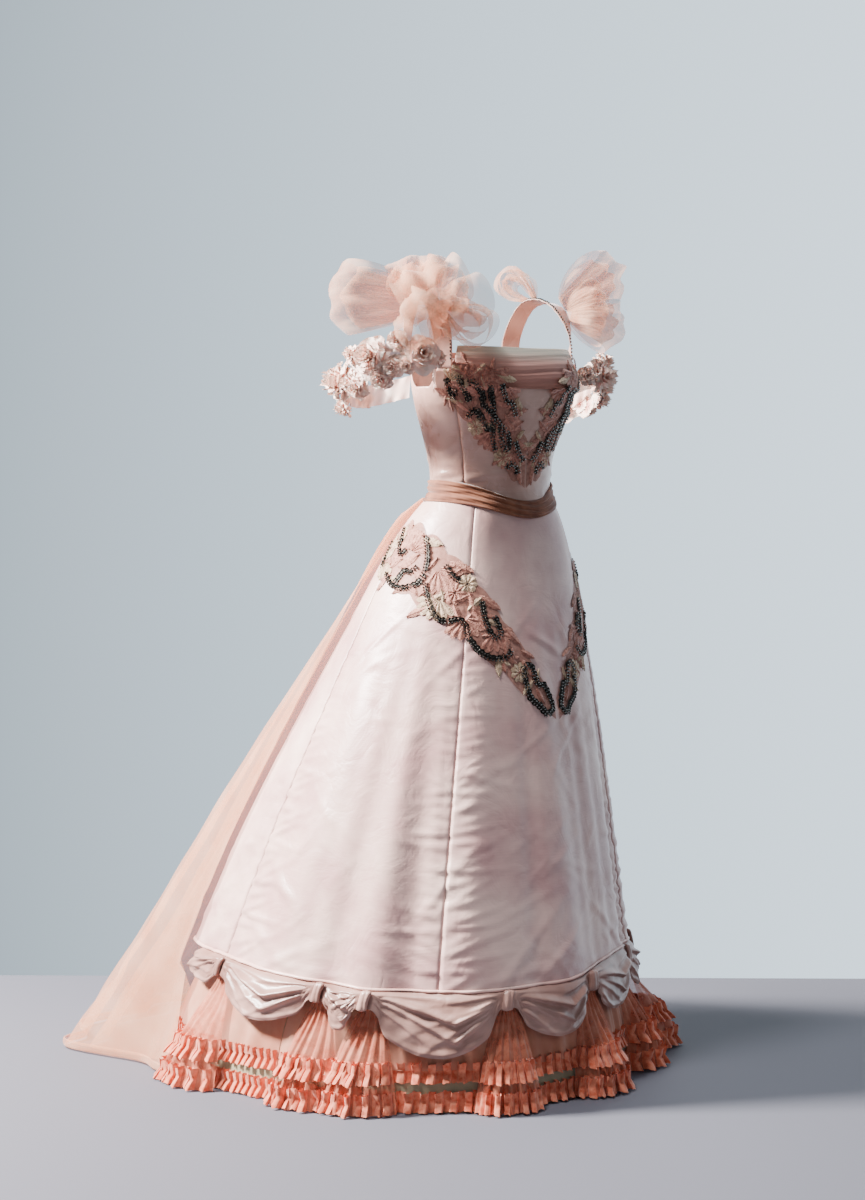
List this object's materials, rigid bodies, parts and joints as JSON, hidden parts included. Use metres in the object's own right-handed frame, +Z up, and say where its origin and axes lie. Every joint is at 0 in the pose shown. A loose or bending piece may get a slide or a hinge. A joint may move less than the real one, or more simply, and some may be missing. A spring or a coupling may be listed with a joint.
{
  "type": "evening dress",
  "caption": "Trained evening dress with a fitted bodice, tulle shoulder loops, rose sleeves, a gored satin skirt with knotted hem swags, pleated ruches and a sheer overlay.",
  "frame": {"origin": "the centre of the waist, where the wearer holds the dress up; the floor is 1.05 m below it", "axes": "+Z up; the wearer faces -Y, and +X is towards the wearer's left hand; the train trails towards +Y"},
  "size_m": [1.0249, 1.197, 1.492],
  "materials": {
    "satin": "pale pink silk satin, soft sheen",
    "satin_under": "ivory beige satin, matt sheen",
    "tulle": "salmon peach tulle, matt",
    "train_tulle": "sheer pale peach tulle, matt",
    "neck_tulle": "rose tulle in folds, matt",
    "lace": "rose tan lace with dark steel beads",
    "petal": "cream pink silk petals, matt"
  },
  "bodies": {
    "root": {"bodice_back_left": "satin", "bodice_back_right": "satin", "bodice_front": "satin", "bodice_side_left": "satin", "bodice_side_right": "satin", "fan_front": "tulle", "fan_left_1": "tulle", "fan_left_2": "tulle", "fan_left_3": "tulle", "fan_right_1": "tulle", "fan_right_2": "tulle", "fan_right_3": "tulle", "fan_right_4": "tulle", "hem_swags_left": "satin", "hem_swags_right": "satin", "knot_front": "satin", "knot_left_1": "satin", "knot_left_2": "satin", "knot_left_3": "satin", "knot_right_1": "satin", "knot_right_2": "satin", "knot_right_3": "satin", "knot_right_4": "satin", "lace_bodice_left": "lace", "lace_bodice_right": "lace", "lace_hip_left": "lace", "lace_hip_right": "lace", "neck_band_back": "neck_tulle", "neck_band_front": "neck_tulle", "puff_left_back": "tulle", "puff_left_down": "tulle", "puff_left_up": "tulle", "puff_right_front": "tulle", "puff_right_out": "tulle", "puff_right_up": "tulle", "rose_left_1": "petal", "rose_left_2": "petal", "rose_left_3": "petal", "rose_right_1": "petal", "rose_right_2": "petal", "rose_right_3": "petal", "ruche_lower_back": "tulle", "ruche_lower_front": "tulle", "ruche_upper_back": "tulle", "ruche_upper_front": "tulle", "skirt_back": "satin", "skirt_front": "satin", "skirt_side_left": "satin", "skirt_side_right": "satin", "sleeve_left": "tulle", "sleeve_right": "tulle", "strap_left": "satin", "strap_right": "satin", "train_tulle": "train_tulle", "underskirt_back": "satin_under", "underskirt_front": "satin_under", "waist_sash": "tulle"}
  },
  "joints": []
}
